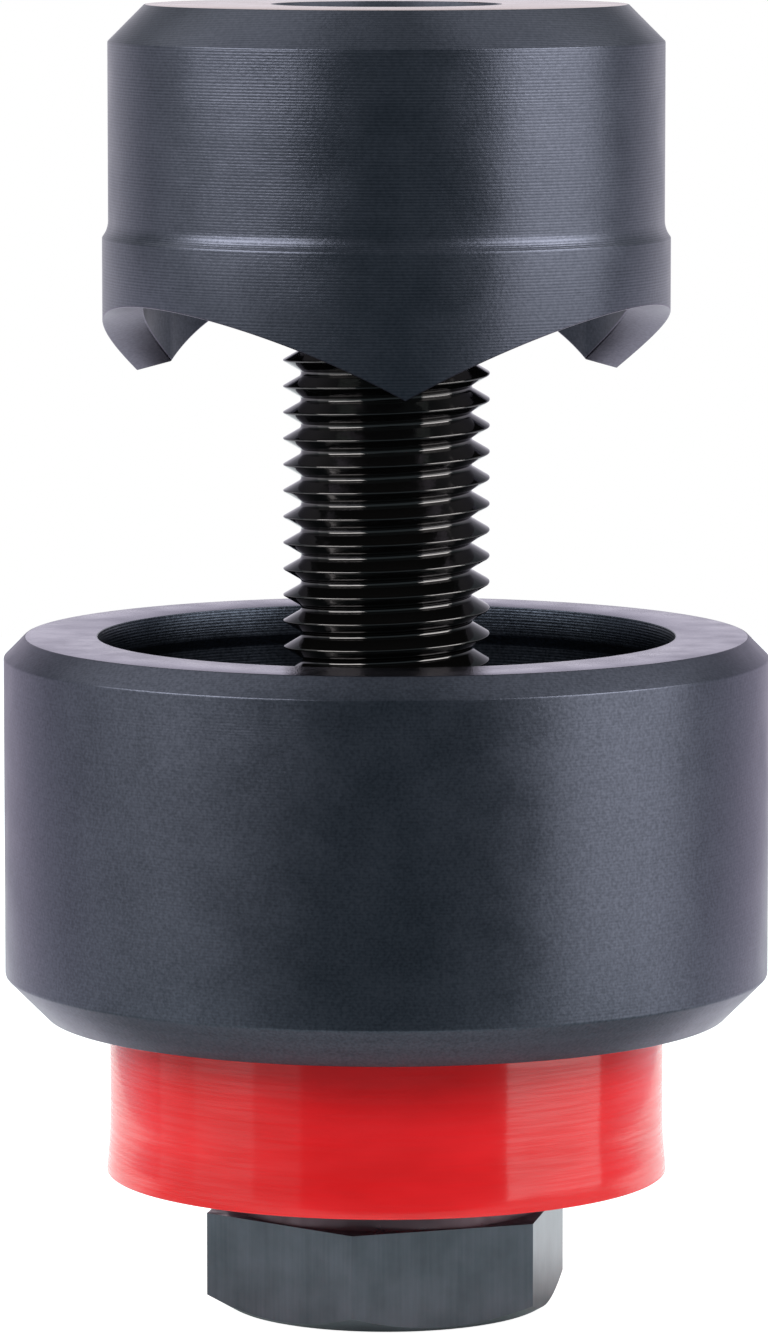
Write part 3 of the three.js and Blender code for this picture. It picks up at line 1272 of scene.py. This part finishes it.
@dataclass
class ThrustBearing:
    """The ball thrust bearing inside the housing, and the ring that holds it there."""

    ball_count: int = 12
    ball_radius: float = 2.0
    ball_circle_radius: float = 9.6
    race_radius: float = 2.08
    race_points: int = 12
    bore_radius: float = 6.2
    upper_bore_radius: float = 6.7
    nose_radius: float = 11.3
    flange: float = 0.7
    ring_inner_radius: float = 11.7
    ring_outer_radius: float = 13.7
    ring_opening: float = math.radians(24)
    ring_azimuth: float = math.radians(240)
    ring_rounding: float = 0.08
    washer_rounding: float = 0.2
    flange_rounding: float = 0.1
    ball_segments: int = 32

    def race(self, middle: float, rim: float) -> list[Corner]:
        """List the points of a race's arc from its outer lip to its inner one.

        Args:
            middle: the height of the balls' centres.
            rim: the height of the washer's face beside the race.

        Returns:
            The race's points.
        """
        side = math.copysign(1.0, rim - middle)
        half_angle = math.acos(abs(rim - middle) / self.race_radius)
        angles = [
            half_angle * (1 - 2 * step / self.race_points) for step in range(self.race_points + 1)
        ]
        return [
            (self.ball_circle_radius + self.race_radius * math.sin(angle),
             middle + side * self.race_radius * math.cos(angle), 0.0)
            for angle in angles
        ]

    def lower_washer(self, middle: float, finishes: Finishes) -> bpy.types.Object:
        """Build the washer that turns with the bolt.

        Args:
            middle: the height of the balls' centres.
            finishes: the tool's materials.

        Returns:
            The washer.
        """
        extent = Extent.of("shaft_washer")
        flange_bottom = extent.high - self.flange
        mesh = turned([
            (self.bore_radius, extent.low, self.washer_rounding),
            (self.nose_radius, extent.low, self.washer_rounding),
            (self.nose_radius, flange_bottom, 0.0),
            (extent.radius, flange_bottom, self.flange_rounding),
            (extent.radius, extent.high, self.flange_rounding),
            *self.race(middle, extent.high),
            (self.bore_radius, extent.high, self.washer_rounding),
        ])
        piece = finished("lower_race", mesh, [finishes.ground_steel])
        seat(piece, "bolt", Slot.GROUND.value, "shaft_washer")
        return piece

    def upper_washer(self, middle: float, finishes: Finishes) -> bpy.types.Object:
        """Build the washer that stays still under the web.

        Args:
            middle: the height of the balls' centres.
            finishes: the tool's materials.

        Returns:
            The washer.
        """
        extent = Extent.of("housing_washer")
        mesh = turned([
            (self.upper_bore_radius, extent.low, self.washer_rounding),
            *reversed(self.race(middle, extent.low)),
            (extent.radius, extent.low, self.washer_rounding),
            (extent.radius, extent.high, self.washer_rounding),
            (self.upper_bore_radius, extent.high, self.washer_rounding),
        ])
        piece = finished("upper_race", mesh, [finishes.ground_steel])
        seat(piece, "housing", Slot.GROUND.value, "housing_washer")
        return piece

    def balls(self, finishes: Finishes) -> list[bpy.types.Object]:
        """Build the balls where the CAD balls are.

        Args:
            finishes: the tool's materials.

        Returns:
            The balls, in the order of their numbers.
        """
        made = []
        for number in range(1, self.ball_count + 1):
            node = f"ball_{number:02d}"
            lowest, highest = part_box(node)
            mesh = bmesh.new()
            bmesh.ops.create_uvsphere(
                mesh,
                u_segments=self.ball_segments,
                v_segments=self.ball_segments // 2,
                radius=self.ball_radius,
                matrix=Matrix.Translation((lowest + highest) / 2 / MM),
            )
            piece = finished(f"steel_{node}", mesh, [finishes.ground_steel])
            seat(piece, "cage", Slot.GROUND.value, node)
            made.append(piece)
        return made

    def snap_ring(self, finishes: Finishes) -> bpy.types.Object:
        """Build the open retaining ring.

        Args:
            finishes: the tool's materials.

        Returns:
            The ring, where the CAD ring is.
        """
        extent = Extent.of("retaining_ring")
        mesh = outline([
            (self.ring_inner_radius, extent.low, self.ring_rounding),
            (self.ring_outer_radius, extent.low, self.ring_rounding),
            (self.ring_outer_radius, extent.high, self.ring_rounding),
            (self.ring_inner_radius, extent.high, self.ring_rounding),
        ])
        bmesh.ops.contextual_create(mesh, geom=mesh.edges[:])
        opening_steps = round(TURN_STEPS * self.ring_opening / FULL_TURN)
        turn(mesh, FULL_TURN - self.ring_opening, TURN_STEPS - opening_steps)
        bmesh.ops.rotate(
            mesh,
            cent=ORIGIN,
            matrix=Matrix.Rotation(self.ring_azimuth + self.ring_opening / 2, 3, "Z"),
            verts=mesh.verts[:],
        )
        piece = finished("snap_ring", mesh, [finishes.spring_steel])
        seat(piece, "housing", Slot.SPRING.value, "retaining_ring")
        return piece

    def build(
        self,
        finishes: Finishes,
        nodes: dict[str, bpy.types.Object],
    ) -> list[bpy.types.Object]:
        """Build the bearing and dress its CAD cage.

        Args:
            finishes: the tool's materials.
            nodes: the CAD nodes by name.

        Returns:
            The new pieces.
        """
        ball = Extent.of("ball_01")
        middle = (ball.low + ball.high) / 2
        cage = nodes["ball_cage"]
        cage.data.materials.clear()
        cage.data.materials.append(finishes.brass)
        return [
            self.lower_washer(middle, finishes),
            self.upper_washer(middle, finishes),
            self.snap_ring(finishes),
            *self.balls(finishes),
        ]


@dataclass
class Softbox:
    """A rectangular studio lamp, aimed at the tool. Angles in degrees and sizes in metres."""

    name: str
    azimuth: float
    elevation: float
    distance: float
    width: float
    height: float
    radiance: float
    colour: str = "#fffbfa"

    def build(self, target: Vector) -> None:
        """Hang the lamp.

        Args:
            target: the point that it is aimed at.
        """
        lamp = bpy.data.lights.new(self.name, "AREA")
        lamp.color = linear(self.colour)[:3]
        lamp.shape = "RECTANGLE"
        lamp.size = self.width
        lamp.size_y = self.height
        lamp.energy = self.radiance * math.pi * self.width * self.height
        azimuth, elevation = math.radians(self.azimuth), math.radians(self.elevation)
        back = Vector((
            math.sin(azimuth) * math.cos(elevation),
            -math.cos(azimuth) * math.cos(elevation),
            math.sin(elevation),
        ))
        box = bpy.data.objects.new(self.name, lamp)
        box.location = target + back * self.distance
        box.rotation_euler = back.to_track_quat("Z", "Y").to_euler()
        box.visible_camera = False
        bpy.context.scene.collection.objects.link(box)


@dataclass(frozen=True)
class WhitePaper:
    """Matt white paper with a soft shadow on it, and clear from below.

    It glows white to the camera, and in metal it glows only behind the tool, past the line where
    it fades in. Its glow on the tool's matt surfaces is weaker.
    """

    colour: str = "#cedcda"
    camera_glow: float = 0.95
    matt_glow: float = 0.55
    mirror_fade_end: float = 0.015
    front_mirror_glow: float = 0.05
    back_mirror_glow: float = 0.95

    def material(self) -> bpy.types.Material:
        """Make the paper's material.

        Returns:
            The material, a mix of glow and matt paper on its upper side alone.
        """
        material = bpy.data.materials.new("white_paper")
        material.use_nodes = True
        tree = material.node_tree
        tree.nodes.clear()
        path = add_node(tree, "ShaderNodeLightPath")
        point = add_node(tree, "ShaderNodeTexCoord").outputs["Object"]
        depth = add_node(tree, "ShaderNodeSeparateXYZ", links={0: point}).outputs["Y"]
        behind = add_node(
            tree, "ShaderNodeMapRange",
            {"From Min": 0.0, "From Max": self.mirror_fade_end,
             "To Min": self.front_mirror_glow, "To Max": self.back_mirror_glow},
            {"Value": depth})
        camera = add_node(tree, "ShaderNodeMath", {"operation": "MULTIPLY", 1: self.camera_glow},
                          {0: path.outputs["Is Camera Ray"]})
        glossy = add_node(tree, "ShaderNodeMath", {"operation": "MULTIPLY"},
                          {0: path.outputs["Is Glossy Ray"], 1: behind})
        diffuse = add_node(tree, "ShaderNodeMath", {"operation": "MULTIPLY", 1: self.matt_glow},
                           {0: path.outputs["Is Diffuse Ray"]})
        sharp = add_node(tree, "ShaderNodeMath", {"operation": "ADD"}, {0: camera, 1: glossy})
        strength = add_node(tree, "ShaderNodeMath", {"operation": "ADD"}, {0: sharp, 1: diffuse})
        glow = add_node(tree, "ShaderNodeEmission", links={"Strength": strength})
        matt = add_node(tree, "ShaderNodeBsdfDiffuse", {"Color": linear(self.colour)})
        upper = add_node(tree, "ShaderNodeAddShader", links={0: glow, 1: matt})
        below = add_node(tree, "ShaderNodeNewGeometry").outputs["Backfacing"]
        clear = add_node(tree, "ShaderNodeBsdfTransparent")
        sided = add_node(tree, "ShaderNodeMixShader", links={0: below, 1: upper, 2: clear})
        add_node(tree, "ShaderNodeOutputMaterial", links={"Surface": sided})
        return material


@dataclass(frozen=True)
class Room:
    """The room round the tool: dark in front and overhead, bright behind, white to the camera.

    The brightness falls with the cosine of the angle to the dark pole, and up the rear wall.
    """

    dark_colour: str = "#596468"
    light_colour: str = "#f8f4ff"
    camera_colour: str = "#ffffff"
    dark_pole: tuple[float, float, float] = (0.0, -0.766, 0.643)
    light_from: float = -0.82
    dark_from: float = 0.05
    wall_fade_start: float = 0.15
    wall_fade_end: float = 0.55
    upper_wall_share: float = 0.2

    def build(self) -> None:
        """Make the world."""
        world = bpy.data.worlds.new("studio")
        bpy.context.scene.world = world
        world.use_nodes = True
        tree = world.node_tree
        tree.nodes.clear()
        path = add_node(tree, "ShaderNodeLightPath")
        direction = add_node(tree, "ShaderNodeTexCoord").outputs["Generated"]
        nearness = add_node(tree, "ShaderNodeVectorMath",
                            {"operation": "DOT_PRODUCT", 1: self.dark_pole}, {0: direction})
        depth_share = add_node(
            tree, "ShaderNodeMapRange",
            {"interpolation_type": "SMOOTHSTEP", "From Min": self.light_from,
             "From Max": self.dark_from, "To Min": 1.0, "To Max": 0.0},
            {"Value": nearness.outputs["Value"]})
        height = add_node(tree, "ShaderNodeSeparateXYZ", links={0: direction}).outputs["Z"]
        wall_share = add_node(
            tree, "ShaderNodeMapRange",
            {"interpolation_type": "SMOOTHSTEP", "From Min": self.wall_fade_start,
             "From Max": self.wall_fade_end, "To Min": 1.0, "To Max": self.upper_wall_share},
            {"Value": height})
        share = add_node(tree, "ShaderNodeMath",
                         {"operation": "MULTIPLY"}, {0: depth_share, 1: wall_share})
        walls = add_node(
            tree, "ShaderNodeMix",
            {"data_type": "RGBA", 6: linear(self.dark_colour), 7: linear(self.light_colour)},
            {0: share})
        seen = add_node(tree, "ShaderNodeMix",
                        {"data_type": "RGBA", 7: linear(self.camera_colour)},
                        {0: path.outputs["Is Camera Ray"], 6: walls.outputs[2]})
        background = add_node(tree, "ShaderNodeBackground", links={"Color": seen.outputs[2]})
        add_node(tree, "ShaderNodeOutputWorld", links={"Surface": background})


@dataclass
class Studio:
    """The floor, the lamps, the room and the camera. Sizes in metres."""

    camera_distance: float = 0.425
    camera_height: float = 0.0859
    camera_side: float = -0.00014
    aim_height: float = 0.03703
    image_height: float = 1336.0
    image_scale: float = 17380.0
    sensor: float = 36.0
    nearest_seen: float = 0.01
    farthest_seen: float = 20.0
    floor_gap: float = 0.00005
    floor_front: float = 0.05
    floor_back: float = 0.35
    floor_half_width: float = 0.075

    def camera(self) -> None:
        """Set the camera at the photograph's angle, with no shift."""
        data = bpy.data.cameras.new("camera")
        place = Vector((self.camera_side, -self.camera_distance, self.camera_height))
        back = place - Vector((self.camera_side, 0.0, self.aim_height))
        data.sensor_width = self.sensor
        data.lens = self.sensor * self.image_scale * back.length / self.image_height
        data.clip_start = self.nearest_seen
        data.clip_end = self.farthest_seen
        camera = bpy.data.objects.new("camera", data)
        camera.location = place
        camera.rotation_euler = back.to_track_quat("Z", "Y").to_euler()
        bpy.context.scene.collection.objects.link(camera)
        bpy.context.scene.camera = camera

    def floor(self) -> None:
        """Lay the pale floor: paper that ends shortly before the tool and runs on behind it."""
        length = self.floor_front + self.floor_back
        middle = Vector((0.0, (self.floor_back - self.floor_front) / 2, -self.floor_gap))
        size = Matrix.Diagonal((2 * self.floor_half_width, length, 1.0, 1.0))
        half_unit = 0.5
        mesh = bmesh.new()
        bmesh.ops.create_grid(mesh, x_segments=1, y_segments=1, size=half_unit,
                              matrix=Matrix.Translation(middle) @ size)
        data = bpy.data.meshes.new("floor")
        mesh.to_mesh(data)
        mesh.free()
        data.materials.append(WhitePaper().material())
        floor = bpy.data.objects.new("floor", data)
        bpy.context.scene.collection.objects.link(floor)

    def lamps(self) -> None:
        """Hang a softbox over reflecting cards on each side, and faint ones behind and overhead."""
        target = Vector((0.0, 0.0, self.aim_height))
        # Name, azimuth, elevation, distance, width, height and radiance
        for box in (
            Softbox("left_softbox", -62.0, 28.0, 0.7, 0.64, 0.28, 4.8),
            Softbox("left_card", -81.0, -2.0, 0.7, 0.66, 0.5, 0.36),
            Softbox("left_fill", -60.0, -2.0, 0.69, 0.64, 0.5, 0.23),
            Softbox("right_softbox", 72.0, 28.0, 0.7, 0.56, 0.28, 4.8),
            Softbox("right_card", 74.0, -2.0, 0.7, 0.62, 0.5, 1.38),
            Softbox("left_back_softbox", -113.0, 55.0, 0.7, 0.6, 0.56, 0.76),
            Softbox("right_back_softbox", 113.0, 55.0, 0.7, 0.6, 0.56, 0.6),
            Softbox("top_softbox", 0.0, 88.0, 0.7, 0.4, 0.4, 0.15),
        ):
            box.build(target)

    def build(self) -> None:
        """Set up the whole studio."""
        self.camera()
        self.floor()
        Room().build()
        self.lamps()
        bpy.context.scene.view_settings.view_transform = "Standard"


def clear_scene() -> None:
    """Remove what a new file starts with."""
    for item in list(bpy.data.objects):
        bpy.data.objects.remove(item)


def main() -> None:
    """Build the tool round the frame, then the studio."""
    logging.basicConfig(level=logging.INFO, format="%(name)s: %(message)s")
    clear_scene()
    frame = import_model()
    Studio().build()
    finishes = Finishes()
    thread = Thread()
    pieces = [
        Punch(thread).build(finishes),
        Die().build(finishes),
        DrawBolt(thread).build(finishes),
        BearingHousing().build(finishes),
        *ThrustBearing().build(finishes, frame["nodes"]),
    ]
    LOG.info("%d new pieces", len(pieces))


if __name__ == "__main__":
    main()
